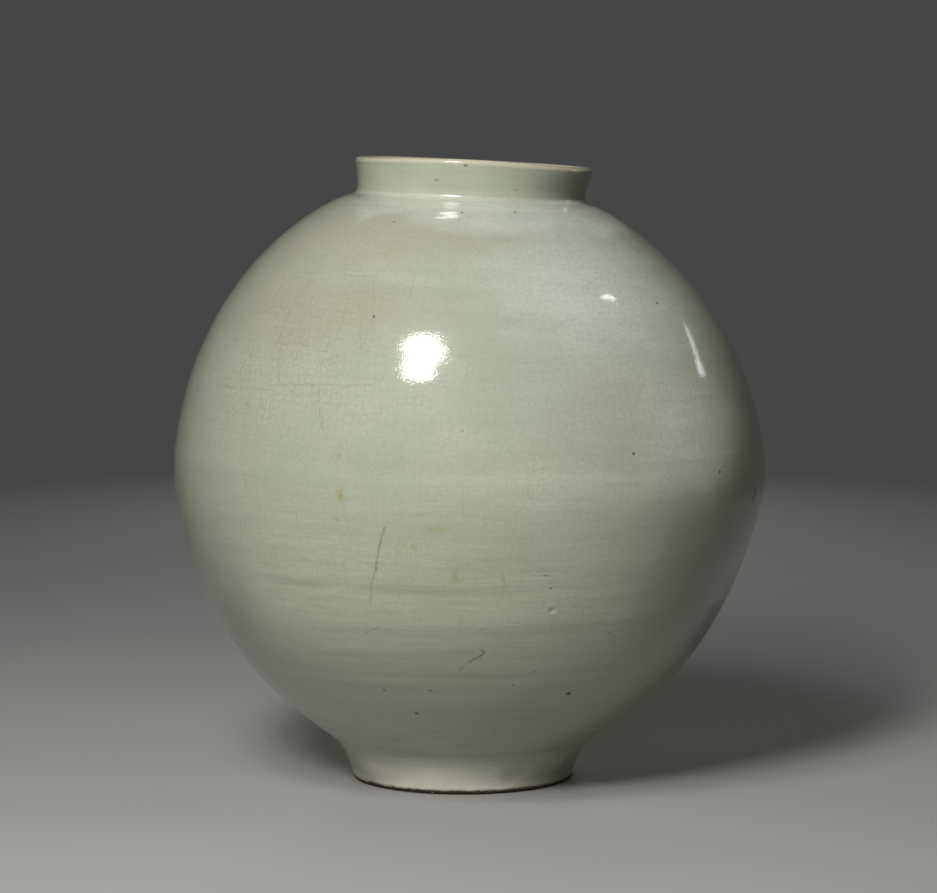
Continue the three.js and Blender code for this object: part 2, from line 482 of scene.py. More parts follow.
def on_jar(turn, level, outline, waves):
    """The place in the frame of a point on the outside, given by its turn and level."""
    rising = outline["points"][:outline["points"][:, 1].argmax() + 1, 1]
    at = np.array([np.interp(level, rising, outline["length"][:len(rising)])])
    points, normals = along_outline(outline, at)
    sink = sink_at(np.array([turn]), points[:, 1], points[:, 0], waves)
    sunk = points - normals * sink[:, None]
    return [float(value) for value in settled(sunk[:, 0], np.array([turn]), sunk[:, 1])[0]]


# The finger spiral inside: its pitch, its rise and the share of the wall over which it starts.
INSIDE_PITCH = 15
INSIDE_RISE = 0.35
INSIDE_FADE = 0.08


def thrown_inside(outline):
    """The rings of an inside wall, with the finger spiral that throwing leaves."""
    inwards = -outward(outline[::-1])[::-1]
    along = np.linspace(0, 1, len(outline))
    ends = smoothstep(0, INSIDE_FADE, along) * smoothstep(0, INSIDE_FADE, 1 - along)
    length = lengths_along(outline)
    wave = np.cos(2 * math.pi * (length[:, None] / INSIDE_PITCH + TURNS / FULL_TURN))
    rise = INSIDE_RISE * ends[:, None] * (0.5 + 0.5 * wave)
    return outline[:, None, :] + inwards[:, None, :] * rise[:, :, None]


def plain_rings(points):
    """Rings that are spun as they are."""
    outline = np.array(points, float)
    return np.repeat(outline[:, None, :], SEGMENTS, axis=1)


def inner_wall(points, first_wall, last_wall):
    """The inside of a wall from its top down, which changes evenly in thickness."""
    wall = np.linspace(first_wall, last_wall, len(points))[:, None]
    inside = (points - outward(points) * wall)[::-1]
    length = lengths_along(inside)
    places = np.linspace(0, length[-1], int(length[-1] / INSIDE_RING_SPACING))
    return resampled(places, length, inside)


def spun_piece(name, rings, closed):
    """A piece made of rings of points, in the frame and in metres."""
    count = len(rings)
    places = settled(rings[:, :, 0], TURNS, rings[:, :, 1]).reshape(-1, 3) * MM
    first = np.arange(count if closed else count - 1)
    second = (first + 1) % count
    here = np.arange(SEGMENTS)
    there = (here + 1) % SEGMENTS
    corners = [
        first[:, None] * SEGMENTS + here[None, :],
        first[:, None] * SEGMENTS + there[None, :],
        second[:, None] * SEGMENTS + there[None, :],
        second[:, None] * SEGMENTS + here[None, :],
    ]
    faces = np.stack(corners, axis=-1).reshape(-1, 4)
    mesh = bpy.data.meshes.new(name)
    mesh.from_pydata(places.tolist(), [], faces.tolist())
    work = bmesh.new()
    work.from_mesh(mesh)
    bmesh.ops.remove_doubles(work, verts=work.verts, dist=WELD_GAP * MM)
    bmesh.ops.recalc_face_normals(work, faces=work.faces)
    work.to_mesh(mesh)
    work.free()
    return placed(name, mesh)


def placed(name, mesh):
    """Puts a mesh in the scene with smooth faces and crisp edges."""
    mesh.shade_smooth()
    mesh.set_sharp_from_angle(angle=math.radians(SHARP_EDGE_ANGLE))
    piece = bpy.data.objects.new(name, mesh)
    bpy.context.scene.collection.objects.link(piece)
    return piece


def foot_rings(outside):
    """The foot ring: flared outside, flat bearing face and slightly drafted bore."""
    top = FOOT_LEVEL - FOOT_SLIP_HALF
    centre = (FOOT_FACE_INNER, FOOT_INNER_ROUND)
    bore_edge = arc(centre, FOOT_INNER_ROUND, 180, 270, SMALL_ROUND_POINTS)
    bore = bezier([(FOOT_BORE, top), bore_edge[0]], BORE_POINTS)
    return np.concatenate([outside, plain_rings(bore), plain_rings(bore_edge[1:])])


# The turned base: pitch and depth of its rings, and its margin to the foot's bore.
BASE_TURNING_PITCH = 7
BASE_TURNING_DEPTH = 0.3
BASE_MARGIN = 1
# The floor inside: how far out it bends up, and how much lower it is there.
FLOOR_BEND = 0.86
FLOOR_DIP = 1
# How high the round under the mouth's edge is.
MOUTH_EDGE = 1


def lower_bowl_rings(outside, outline):
    """The lower bowl: turned base, outside, and the inside down to the floor."""
    under = FOOT_LEVEL + FOOT_SLIP_HALF
    top = under + BASE_THICKNESS
    radii = np.linspace(0, FOOT_BORE - BASE_MARGIN, SIDE_POINTS)
    turned = 0.5 - 0.5 * np.cos(2 * math.pi * radii / BASE_TURNING_PITCH)
    base = np.stack([radii, under + BASE_TURNING_DEPTH * turned], axis=-1)
    inside = inner_wall(outline, WAIST_WALL, BELLY_WALL)
    floor_bend = (inside[-1][0] * FLOOR_BEND, top - FLOOR_DIP)
    floor = bezier([inside[-1], floor_bend, (0, top)], FLOOR_POINTS)
    return np.concatenate([
        plain_rings(base),
        plain_rings([(FOOT_BORE, under)]),
        outside,
        thrown_inside(inside),
        plain_rings(floor[1:]),
    ])


def upper_bowl_rings(outside, outline):
    """The upper bowl: outside, the mouth's edge, and the inside down to the belly."""
    inside = inner_wall(outline, BELLY_WALL, SHOULDER_WALL)
    under = NECK_LEVEL - SHOULDER_WALL
    handles = [(MOUTH_RADIUS, under + MOUTH_EDGE), (MOUTH_RADIUS, under), inside[0]]
    soft_edge = bezier(handles, SMALL_ROUND_POINTS)
    return np.concatenate([
        outside,
        plain_rings([(MOUTH_RADIUS, NECK_LEVEL)]),
        plain_rings(soft_edge[:-1]),
        thrown_inside(inside),
    ])


def collar_rings(outside):
    """The mouth collar: outside, half-round lip and the bore down to the neck."""
    bore_top = (LIP_RADIUS - 2 * LIP_ROUND, LIP_LEVEL - LIP_ROUND)
    bore = bezier([bore_top, (MOUTH_RADIUS, NECK_LEVEL + NECK_SLIP_HEIGHT)], BORE_POINTS)
    return np.concatenate([outside, plain_rings(bore[1:])])


def build_shells(outline, waves):
    """One glazed shell for each solid."""
    rings = {name: thrown_outside(name, outline, waves) for name in outline["cuts"]}
    raw = outside_runs()
    inner_rim = BELLY_RADIUS - BELLY_WALL
    foot_levels = (FOOT_LEVEL + FOOT_SLIP_HALF, FOOT_LEVEL - FOOT_SLIP_HALF)
    roll = bezier([
        (inner_rim, BELLY_LEVEL + BELLY_SLIP_HALF),
        (inner_rim - 2 * BELLY_ROLL, BELLY_LEVEL),
        (inner_rim, BELLY_LEVEL - BELLY_SLIP_HALF),
    ], ROLL_POINTS)
    neck_bore = [(MOUTH_RADIUS, NECK_LEVEL + NECK_SLIP_HEIGHT), (MOUTH_RADIUS, NECK_LEVEL)]
    rings["foot_ring"] = foot_rings(rings["foot_ring"])
    rings["lower_bowl"] = lower_bowl_rings(rings["lower_bowl"], raw["lower_bowl"])
    rings["upper_bowl"] = upper_bowl_rings(rings["upper_bowl"], raw["upper_bowl"])
    rings["mouth_collar"] = collar_rings(rings["mouth_collar"])
    slips = {
        "foot_luting_slip": [(FOOT_BORE, level) for level in foot_levels],
        "belly_luting_slip": roll,
        "neck_luting_slip": neck_bore,
    }
    for name, inside in slips.items():
        rings[name] = np.concatenate([rings[name], plain_rings(inside)])
    pieces = {}
    for name in rings:
        pieces[name] = spun_piece(name + "_glazed", rings[name], closed=name != "lower_bowl")
    return pieces


def new_material(name):
    """An empty node material, and what adds nodes to it."""
    made = bpy.data.materials.new(name)
    made.use_nodes = True
    made.node_tree.nodes.clear()
    return made, functools.partial(add_node, made.node_tree)


def surface_places(node):
    """Places on the jar in millimetres, and the thrown level there."""
    raw = node("TexCoord", {}, output="Object")
    place = node("VectorMath SCALE", {0: raw, "Scale": 1 / MM})
    axes = node("SeparateXYZ", [place]).node.outputs
    share = node("Math DIVIDE", [axes[2], LIP_LEVEL], use_clamp=True)
    growth = node("Math POWER", [share, TILT_GROWTH])
    lean = node("Math MULTIPLY", [growth, axes[0]])
    upright = node("Math MULTIPLY_ADD", [lean, math.radians(LIP_TILT), axes[2]])
    around = node("VectorMath MULTIPLY", [place, (1, 1, 0)])
    heading = node("VectorMath NORMALIZE", [around])
    facing = node("VectorMath DOT_PRODUCT", [heading, (0, -1, 0)], output="Value")
    facing = node("Math MAXIMUM", [facing, 0])
    facing = node("Math POWER", [facing, FRONT_LIFT_POWER])
    lowered = [upright, *FRONT_LIFT_LEVELS, 0, -FRONT_LIFT]
    high = node("MapRange", lowered, interpolation_type="SMOOTHSTEP")
    level = node("Math MULTIPLY_ADD", [high, facing, upright])
    banded = node("CombineXYZ", [axes[0], axes[1], level])
    return place, level, banded


def soft_spot(node, place, centre, reach, edge):
    """One inside an ellipsoid round a place, fading to none over its outer share."""
    offset = node("VectorMath SUBTRACT", [place, centre])
    scaled = node("VectorMath DIVIDE", [offset, reach])
    away = node("VectorMath LENGTH", [scaled], output="Value")
    return node("MapRange", [away, 1, 1 - edge], interpolation_type="SMOOTHSTEP")


# The share of a drawn line's width that is full on each side of its middle.
STROKE_CORE = 0.15


def stroke(node, place, start, end, width):
    """One along a line between two places, fading to none at half its width."""
    span = [b - a for a, b in zip(start, end)]
    square = sum(value * value for value in span)
    share = [value / square for value in span]
    offset = node("VectorMath SUBTRACT", [place, start])
    along = node("VectorMath DOT_PRODUCT", [offset, share], output="Value")
    kept = node("Clamp", {"Value": along})
    nearest = node("VectorMath SCALE", {0: span, "Scale": kept})
    away = node("VectorMath DISTANCE", [offset, nearest], output="Value")
    return node("MapRange", [away, width / 2, width * STROKE_CORE])


def strongest(node, masks):
    """The strongest of several masks at each place."""
    best = masks[0]
    for mask in masks[1:]:
        best = node("Math MAXIMUM", [best, mask])
    return best


# Craze lines: size of the cells, width of the lines, scatter of the cells.
# Real lines are hairlines of a tenth of a millimetre, drawn wider so that they show.
CRAZES = {"main": (6.3, 0.74, 0.62), "fine": (3.6, 0.5, 0.6), "long": (38, 0.9, 0.6)}
CRACK_EDGE = 1.7
CRACK_CORE = 0.3


def crack_lines(node, flat, kind):
    """The lines between cells of a crazed glaze, on places that are laid out flat."""
    cell, width, scatter = CRAZES[kind]
    cells = {"Vector": flat, "Scale": 1 / cell, "Randomness": scatter}
    edge = node("TexVoronoi", cells, voronoi_dimensions="2D", feature="DISTANCE_TO_EDGE")
    half = width / cell / 2
    return node("MapRange", [edge, half * CRACK_EDGE, half * CRACK_CORE])


# Irregular patches: their size, the noise levels that give none and one, and the detail.
PATCHES = {
    "clouds": (36, 0.32, 0.68, 4),
    "bands": (9, 0.4, 0.72, 3),
    "streaks": (2.6, 0.4, 0.7, 2),
    "mottle": (2.8, 0.36, 0.66, 2),
    "open craze": (12, 0.2, 0.56, 2),
    "broken craze": (4.2, 0.3, 0.58, 2),
    "brown craze": (70, 0.5, 0.75, 2),
    "broken marks": (3, 0.28, 0.62, 2),
    "dull glaze": (18, 0.3, 0.7, 2),
    "lip clouds": (26, 0.32, 0.68, 4),
    "lip bands": (4, 0.42, 0.7, 2),
    "lip wear": (10, 0.58, 0.72, 3),
    "foot clouds": (22, 0.3, 0.7, 4),
    "biscuit grain": (1.2, 0.35, 0.7, 2),
    "sand": (6, 0.42, 0.58, 2),
}
# How drawn things waver: size of the waves, how far they carry.
WAVERS = {
    "tones": (34, 30),
    "craze": (7, 3.4),
    "long craze": (22, 9),
    "edges": (2.5, 1.8),
    "stains": (5, 6),
    "long cracks": (6, 4),
    "pools": (60, 5),
    "lip specks": (2.5, 1.2),
    "smoke and shade": (14, 9),
}
# Places squeezed round the jar, so that noise on them runs in rings.
BAND_SQUEEZE = (0.07, 0.07, 1)
RING_SQUEEZE = (0.05, 0.05, 1)
LIP_SQUEEZE = (0.08, 0.08, 1)


def patches(node, place, kind):
    """Irregular patches of one kind, from none to one."""
    size, low, high, detail = PATCHES[kind]
    noise = node("TexNoise", {"Vector": place, "Scale": 1 / size, "Detail": detail})
    return node("MapRange", [noise, low, high])


def relief(node, height, layers):
    """A relief with noise added to it: the places, size, detail and rise of each layer."""
    for place, size, detail, rise in layers:
        noise = node("TexNoise", {"Vector": place, "Scale": 1 / size, "Detail": detail})
        height = node("Math MULTIPLY_ADD", [noise, rise, height])
    return height


def laid_over(node, colour, tone, mask, strength=1):
    """A colour with a tone laid over it, as strong as a mask and a strength say."""
    share = node("Math MULTIPLY", [mask, strength])
    under, over = (linear(part) if isinstance(part, str) else part for part in (colour, tone))
    return node("Mix", {0: share, 6: under, 7: over}, output=2, data_type="RGBA")


GLASSY_COAT = {
    "Specular IOR Level": 0.25, "Coat Weight": 1, "Coat Roughness": 0.075, "Coat IOR": 1.58}


def surfaced(node, colour, height, roughness, coated=False):
    """The shader of a finish, with its relief in millimetres and a full glaze's glassy coat."""
    normal = node("Bump", {"Strength": 1, "Distance": MM, "Height": height})
    sockets = {"Base Color": colour, "Roughness": roughness, "IOR": 1.5, "Normal": normal}
    if coated:
        sockets.update(GLASSY_COAT)
        sockets["Coat Normal"] = normal
    shader = node("BsdfPrincipled", sockets)
    node("OutputMaterial", {"Surface": shader})


def wavered(node, place, kind):
    """Places moved about a little, so that what is drawn on them wavers."""
    size, reach = WAVERS[kind]
    waves = {"Vector": place, "Scale": 1 / size, "Detail": 1}
    noise = node("TexNoise", waves, output="Color")
    centred = node("VectorMath SUBTRACT", [noise, (0.5, 0.5, 0.5)])
    return node("VectorMath MULTIPLY_ADD", [centred, (reach, reach, reach), place])


# Tones in the glaze: turn, level, reach across, reach up, how strong, colour. Most are tones of the
# firing; the pale ones on the upper right, the right middle and the shoulder by the neck are
# painted light, for light and sheen from above and the right.
GLAZE_TONES_AND_PAINTED_LIGHT = (
    (-6, 326, 110, 52, 0.6, "a9b099"),
    (-34, 388, 128, 27, 0.8, "b9b49e"),
    (8, 393, 66, 16, 0.5, "b9b49e"),
    (-38, 337, 124, 36, 0.8, "b1ac97"),
    (-66, 362, 80, 34, 0.6, "b6b59c"),
    # Painted light on the upper right.
    (40, 356, 130, 74, 0.85, "d4decf"),
    (10, 290, 80, 50, 0.3, "b3bcaa"),
    (20, 228, 124, 24, 0.6, "cad0b9"),
    # This tone and the next four: painted light on the shoulder by the neck and on the right
    # middle.
    (16, 405, 96, 14, 0.66, "d8dece"),
    (48, 266, 84, 60, 0.85, "dde3d1"),
    (48, 402, 76, 15, 0.8, "e2e8db"),
    (-28, 411, 92, 12, 0.62, "d6dac8"),
    (66, 408, 66, 15, 0.8, "e6ebdf"),
    (150, 372, 110, 26, 0.7, "bcb59e"),
    (-140, 330, 100, 30, 0.65, "bbb49f"),
    (190, 300, 110, 70, 0.5, "b2bcac"),
)
# Grey tones low down, partly smoke in the glaze and partly painted shade where the right and left
# sides turn from the light, in the same order.
SMOKE_AND_PAINTED_SHADE_TONES = (
    (60, 154, 110, 98, 0.74, "74766e"),
    (-70, 134, 98, 108, 0.66, "75786a"),
    (176, 128, 90, 64, 0.3, "868878"),
)
# Tones down the jar, yellower and darker on the lower body: the levels where each starts and is
# full, how strong, colour. The last, pale tone just above the foot is painted light, thrown up from
# the floor.
LEVEL_TONES = (
    (222, 170, 0.9, "c1c5a8"),
    (142, 104, 0.8, "abae95"),
    # Painted light thrown up from the floor onto the lowest body.
    (70, 34, 0.85, "d4d5be"),
)
TONE_EDGE = 0.8
# Faint stains in the craze: turn, level, reach across, reach up, how strong.
STAINS = (
    (-24, 221, 6, 7, 0.75),
    (-19.5, 215, 3, 3.4, 0.6),
    (-46, 223, 2.4, 5, 0.7),
    (-25, 204, 5, 2.6, 0.5),
    (-25, 248, 4, 12, 0.4),
    (-6, 202, 14, 5, 0.5),
    (-10, 188, 3.4, 3.4, 0.5),
    (-2, 167, 5, 14, 0.4),
    (7, 166, 3.4, 13, 0.4),
    (-13, 186, 3, 10, 0.45),
    (61.5, 385, 9, 4, 0.4),
    (50, 66, 7, 2.6, 0.55),
    (-66, 37, 4, 2.2, 0.55),
    (140, 190, 7, 10, 0.55),
    (-120, 240, 6, 8, 0.55),
    (205, 150, 9, 5, 0.5),
)
# Glaze pooled in the grooves of turning: turn, level, reach across, reach up, how strong.
POOLS = (
    (-8, 157, 72, 6.6, 0.26),
    (-34, 160, 50, 5.6, 0.14),
    (-20, 111.5, 62, 4.6, 0.2),
    (-2, 114, 50, 4, 0.14),
    (-16, 103, 72, 4.2, 0.18),
    (4, 96.5, 84, 4.6, 0.18),
    (-20, 88, 58, 3.8, 0.16),
    (20, 133, 88, 4.4, 0.12),
    (-14, 128, 74, 4.2, 0.12),
    (0, 210, 110, 4.4, 0.1),
    (170, 150, 120, 6.4, 0.22),
    (200, 106, 110, 5.2, 0.2),
    (110, 124, 100, 4.8, 0.18),
    (-105, 140, 110, 5.6, 0.2),
    (-120, 98, 100, 4.8, 0.18),
)
# Iron specks: turn, level, reach across, reach up, how strong.
SPECKS = (
    (-13.5, 66.8, 2.2, 1.7, 0.9),
    (27, 81, 2.8, 2, 1),
    (31.5, 251, 1.7, 1.7, 0.75),
    (54, 235, 1.7, 2, 0.75),
    (-22, 337, 1.5, 1.7, 0.7),
    (51, 350, 1.5, 1.5, 0.6),
    (71.2, 214.6, 4.2, 3.8, 0.9),
    (69.8, 210.2, 4, 3.6, 0.9),
    (-20.5, 84, 1.7, 1.4, 0.6),
    (-8.5, 85.6, 1.5, 1.3, 0.55),
    (16.5, 160.5, 1.5, 1.5, 0.5),
    (31, 148, 1.3, 1.3, 0.45),
    (32, 125.2, 1.4, 1.3, 0.55),
    (16, 100, 1.4, 1.2, 0.45),
    (11.5, 90, 2, 1.6, 0.35),
    (51.5, 73.8, 1.6, 1.3, 0.55),
    (60, 128.8, 1.5, 1.4, 0.55),
    (-3.5, 406.2, 1.5, 1.3, 0.75),
    (18, 407.9, 1.5, 1.2, 0.65),
    (21.5, 411.5, 1.2, 0.8, 0.45),
    (-27.5, 398.2, 2.2, 1, 0.45),
    (47, 78, 1.4, 1, 0.5),
    (53, 80.5, 1.3, 1, 0.45),
    (57, 76, 1.5, 1, 0.5),
    (44, 70, 1.8, 0.9, 0.4),
    (120, 160, 1.9, 1.6, 0.8),
    (165, 262, 1.6, 1.6, 0.7),
    (214, 98, 2.2, 1.6, 0.8),
    (262, 196, 1.6, 1.7, 0.65),
)
# Drawn lines in the glaze: width, how strong, then turn and level of each point.
RUST_STREAKS = (
    (2.6, 0.72, ((-15.4, 201), (-16, 195), (-16.4, 189))),
    (2.4, 0.62, ((-16.4, 189), (-17, 180), (-17.5, 171))),
    (2, 0.36, ((-17.5, 171), (-18.6, 160), (-18.9, 152), (-19.4, 147))),
)
SCRATCHES = (
    (1.5, 0.22, ((-22.5, 124), (-20.2, 128.4))),
    (1.8, 0.3, ((-20.2, 128.4), (-18, 131.3))),
    (1.4, 0.34, ((-1.5, 101.5), (0.6, 107))),
    (1.9, 0.64, ((0.9, 107.6), (3.7, 112.6), (4.1, 115.2), (3.2, 116.5))),
    (1.3, 0.3, ((3, 131.5), (4.2, 132.3))),
    (1.1, 0.22, ((12.3, 169.3), (14.6, 169.2))),
    (1.4, 0.45, ((14.6, 169.2), (15.8, 169))),
    (1.4, 0.3, ((49, 86), (51, 88.6))),
)
# Painted highlights: pale lines along the lit lower edges of a scratch and of a pit.
LIT_EDGES = (
    (1.3, 0.55, ((12.6, 167.9), (16, 167.5))),
    (1.6, 0.6, ((17.2, 142.8), (18.2, 143.2), (18.7, 144.6))),
)
LONG_CRACKS = (
    (2, 0.26, ((-32.2, 314), (-31.4, 304), (-31, 296), (-30.8, 288))),
    (2.2, 0.32, ((-30.8, 288), (-30.6, 281), (-29.6, 270), (-28.6, 262))),
    (2, 0.3, ((-43.5, 288), (-38, 289.6), (-33, 290.5), (-26, 291.4), (-20, 293))),
    (1.8, 0.22, ((-27.5, 300), (-26, 276))),
    (1.8, 0.2, ((-39, 283), (-37.5, 266))),
)
# Fine streaks round the jar: the levels between which they grow, how strong.
STREAK_LEVELS = (245, 165)
STREAK_STRENGTHS = (0.09, 0.3)


def drawn_lines(node, place, lines, on_glaze):
    """All the lines of a list, each as strong as it says."""
    masks = []
    for width, strength, points in lines:
        places = [on_glaze(turn, level) for turn, level in points]
        for start, end in zip(places, places[1:]):
            line = stroke(node, place, start, end, width)
            masks.append(node("Math MULTIPLY", [line, strength]))
    return strongest(node, masks)


def spots(node, place, listed, on_glaze, edge):
    """All the spots of a list, each as strong as it says."""
    masks = []
    for turn, level, across, up, strength in listed:
        spot = soft_spot(node, place, on_glaze(turn, level), (across, across, up), edge)
        masks.append(node("Math MULTIPLY", [spot, strength]))
    return strongest(node, masks)


def toned(node, place, colour, listed, on_glaze):
    """A colour with the soft tones of a list laid over it."""
    for turn, level, across, up, strength, tone in listed:
        reach = (across, across, up)
        spot = soft_spot(node, place, on_glaze(turn, level), reach, TONE_EDGE)
        colour = laid_over(node, colour, tone, spot, strength)
    return colour


def glaze_tones_with_painted_light_and_shade(node, place, level, banded, on_glaze):
    """The glaze's colour: clouds, throwing bands, tones of the firing, and painted light and shade
    in some of the tones.
    """
    colour = laid_over(node, "b4bba3", "babfa8", patches(node, place, "clouds"))
    drifted = wavered(node, place, "tones")
    # Tones of the firing, with painted light on the upper right and the shoulder.
    colour = toned(node, drifted, colour, GLAZE_TONES_AND_PAINTED_LIGHT, on_glaze)
    # The last of these level tones is painted light from the floor.
    for start, full, strength, tone in LEVEL_TONES:
        reached = node("MapRange", [level, start, full])
        colour = laid_over(node, colour, tone, reached, strength)
    # Painted shade low on the right and left sides, partly smoke.
    colour = toned(node, drifted, colour, SMOKE_AND_PAINTED_SHADE_TONES, on_glaze)
    flat = node("VectorMath MULTIPLY", [banded, BAND_SQUEEZE])
    streaked = node("MapRange", [level, *STREAK_LEVELS, *STREAK_STRENGTHS])
    colour = laid_over(node, colour, "9da38b", patches(node, flat, "bands"), strength=0.18)
    colour = laid_over(node, colour, "9da38b", patches(node, flat, "streaks"), streaked)
    return laid_over(node, colour, "969c84", patches(node, place, "mottle"), strength=0.17)


def way_round(node, place, radius):
    """How far round the jar a place lies from its front, measured at one radius."""
    axes = node("SeparateXYZ", [place]).node.outputs
    ahead = node("Math MULTIPLY", [axes[1], -1])
    turn = node("Math ARCTAN2", [axes[0], ahead])
    return node("Math MULTIPLY", [turn, radius])


def ball_map(node, place):
    """The round body laid out flat: small squares stay square, and shrink towards foot and neck."""
    offset = node("VectorMath SUBTRACT", [place, (0, 0, BELLY_LEVEL)])
    flat = node("VectorMath MULTIPLY", [offset, (1, 1, 0)])
    radius = node("VectorMath LENGTH", [flat], output="Value")
    reach = node("VectorMath LENGTH", [offset], output="Value")
    height = node("SeparateXYZ", [offset], output=2)
    slope = node("Math ADD", [height, reach])
    slope = node("Math DIVIDE", [slope, radius])
    rise = node("Math LOGARITHM", [slope, math.e])
    rise = node("Math MULTIPLY", [rise, BELLY_RADIUS])
    return node("CombineXYZ", [way_round(node, place, BELLY_RADIUS), rise])


def ring_map(node, place):
    """The collar or the foot laid out flat."""
    height = node("SeparateXYZ", [place], output=2)
    return node("CombineXYZ", [way_round(node, place, WAIST_RADIUS), height])


# How strong the craze is, from a lower level up to a higher one.
CRAZE_LEVELS = (200, 262)
MAIN_CRAZE = (0.45, 1)
FINE_CRAZE = (0.8, 0.45)


def craze(node, place, laid_flat, level):
    """The crackle: squarish cells, finer and fainter ones between and low down, long cracks."""
    main_share = node("MapRange", [level, *CRAZE_LEVELS, *MAIN_CRAZE])
    fine_share = node("MapRange", [level, *CRAZE_LEVELS, *FINE_CRAZE])
    wavy = laid_flat(node, wavered(node, place, "craze"))
    far = laid_flat(node, wavered(node, place, "long craze"))
    open_share = patches(node, place, "open craze")
    main_share = node("Math MULTIPLY", [main_share, open_share])
    shares = ((wavy, "main", main_share), (wavy, "fine", fine_share), (far, "long", open_share))
    masks = []
    for flat, kind, share in shares:
        lines = crack_lines(node, flat, kind)
        masks.append(node("Math MULTIPLY", [lines, share]))
    broken = patches(node, place, "broken craze")
    broken = node("MapRange", {"Value": broken, "To Min": 0.35})
    return node("Math MULTIPLY", [strongest(node, masks), broken])


# Strewn specks: how far apart, the share of places left bare, the largest reach in spacings.
SPECK_SPACING = 34
SPECK_CHOICE = 0.55
SPECK_REACH = 0.022


def scattered_specks(node, place):
    """Small iron specks strewn over the whole glaze."""
    scale = 1 / SPECK_SPACING
    cells = node("TexVoronoi", {"Vector": place, "Scale": scale}).node.outputs
    chosen = node("SeparateColor", [cells["Color"]]).node.outputs
    size = node("MapRange", [chosen[0], SPECK_CHOICE, 1, 0, SPECK_REACH])
    near = node("Math LESS_THAN", [cells["Distance"], size])
    return node("Math MULTIPLY", [near, chosen[1]])


# Where the craze took up most brown: turn and level, reach along the axes.
BROWN_MIDDLE = (-46, 318)
BROWN_REACH = (150, 150, 105)


def crackled_glaze(on_glaze):
    """Clear glaze over porcelain: glassy, cool grey-green, crazed all over, brown in places, with
    painted light and shade in some tones and marks.
    """
    made, node = new_material("crackled_clear_glaze_over_porcelain")
    place, level, banded = surface_places(node)
    colour = glaze_tones_with_painted_light_and_shade(node, place, level, banded, on_glaze)
    lines = craze(node, place, ball_map, level)
    browned = soft_spot(node, place, on_glaze(*BROWN_MIDDLE), BROWN_REACH, edge=0.75)
    elsewhere = patches(node, place, "brown craze")
    faint_brown = node("Math MULTIPLY", [elsewhere, 0.45])
    brown_share = strongest(node, [browned, faint_brown])
    tone = laid_over(node, "8d927c", "83765a", brown_share)
    inked = node("MapRange", {"Value": brown_share, "To Min": 0.26, "To Max": 0.36})
    colour = laid_over(node, colour, tone, lines, inked)
    rough_edge = wavered(node, place, "edges")
    broken = patches(node, place, "broken marks")
    worn = node("MapRange", {"Value": broken, "To Min": 0.5})
    stains = spots(node, wavered(node, place, "stains"), STAINS, on_glaze, edge=0.9)
    cracks = drawn_lines(node, wavered(node, place, "long cracks"), LONG_CRACKS, on_glaze)
    marks = (
        (spots(node, wavered(node, place, "pools"), POOLS, on_glaze, edge=0.95), 1, "868c74"),
        (stains, broken, "a3955f"),
        (cracks, worn, "857a5c"),
        (drawn_lines(node, rough_edge, RUST_STREAKS, on_glaze), worn, "85703a"),
        # Painted highlights along the lit edges of a scratch and a pit.
        (drawn_lines(node, rough_edge, LIT_EDGES, on_glaze), 1, "ccd1ba"),
        (drawn_lines(node, rough_edge, SCRATCHES, on_glaze), 1, "4f4a36"),
        (spots(node, rough_edge, SPECKS, on_glaze, edge=0.7), 1, "2a281f"),
        (scattered_specks(node, place), 1, "4a4535"),
    )
    for mask, strength, ink in marks:
        colour = laid_over(node, colour, ink, mask, strength)
    height = glaze_relief(node, place, banded, lines, on_glaze)
    dulled = patches(node, place, "dull glaze")
    roughness = node("MapRange", {"Value": dulled, "To Min": 0.3, "To Max": 0.4})
    surfaced(node, colour, height, roughness, coated=True)
    return made


# Pits left by bubbles: turn, level, reach across, reach up, how deep.
PITS = (
    (17.5, 144.6, 3.6, 2.8, 0.95),
    (15.3, 169, 1.8, 1.2, 0.4),
    (-14, 122, 3, 1, 0.2),
    (-16, 94.5, 3, 1.2, 0.25),
    (150, 130, 2.4, 1.8, 0.45),
    (230, 220, 2, 1.8, 0.4),
)
# Where the glaze is grainiest: turn and level, reach along the axes.
GRAINY_MIDDLE = (-10, 308)
GRAINY_REACH = (96, 96, 84)
PIT_DEPTH = 0.5
CRAZE_DEPTH = 0.006


def glaze_relief(node, place, banded, lines, on_glaze):
    """The glaze's relief in millimetres: pits, pillowed craze, slow ripple, rings, fine grain."""
    flat = node("VectorMath MULTIPLY", [banded, RING_SQUEEZE])
    grainy = soft_spot(node, place, on_glaze(*GRAINY_MIDDLE), GRAINY_REACH, edge=0.7)
    grain_rise = node("MapRange", {"Value": grainy, "To Min": 0.004, "To Max": 0.032})
    pits = spots(node, place, PITS, on_glaze, edge=0.9)
    height = node("Math MULTIPLY", [pits, -PIT_DEPTH])
    height = node("Math MULTIPLY_ADD", [lines, -CRAZE_DEPTH, height])
    return relief(node, height, (
        (place, 9, 1.5, 0.04),
        (flat, 7, 2, 0.01),
        (place, 2.2, 1, 0.012),
        (place, 1.2, 0, grain_rise),
    ))


# Painted shade on the collar's right side, where it turns from the light, listed as on the body.
COLLAR_PAINTED_SHADE = (
    (76, 424, 82, 44, 0.58, "6c6e64"),
)
# Iron specks on the collar, as on the body.
COLLAR_SPECKS = (
    (-4, 434.5, 2.2, 1.2, 0.75),
    (-17.5, 424.5, 2.6, 1.1, 0.55),
    (22, 421, 1, 1, 0.45),
    (130, 428, 1.6, 1.4, 0.7),
    (215, 433, 2.4, 1.2, 0.6),
)
# Where the glaze runs thin on the lip: how ragged the edge is, how far below the top it lies.
LIP_RAGGED = 3.2
LIP_THIN = (2.6, 0.2)
LIP_THINNEST = 0.9


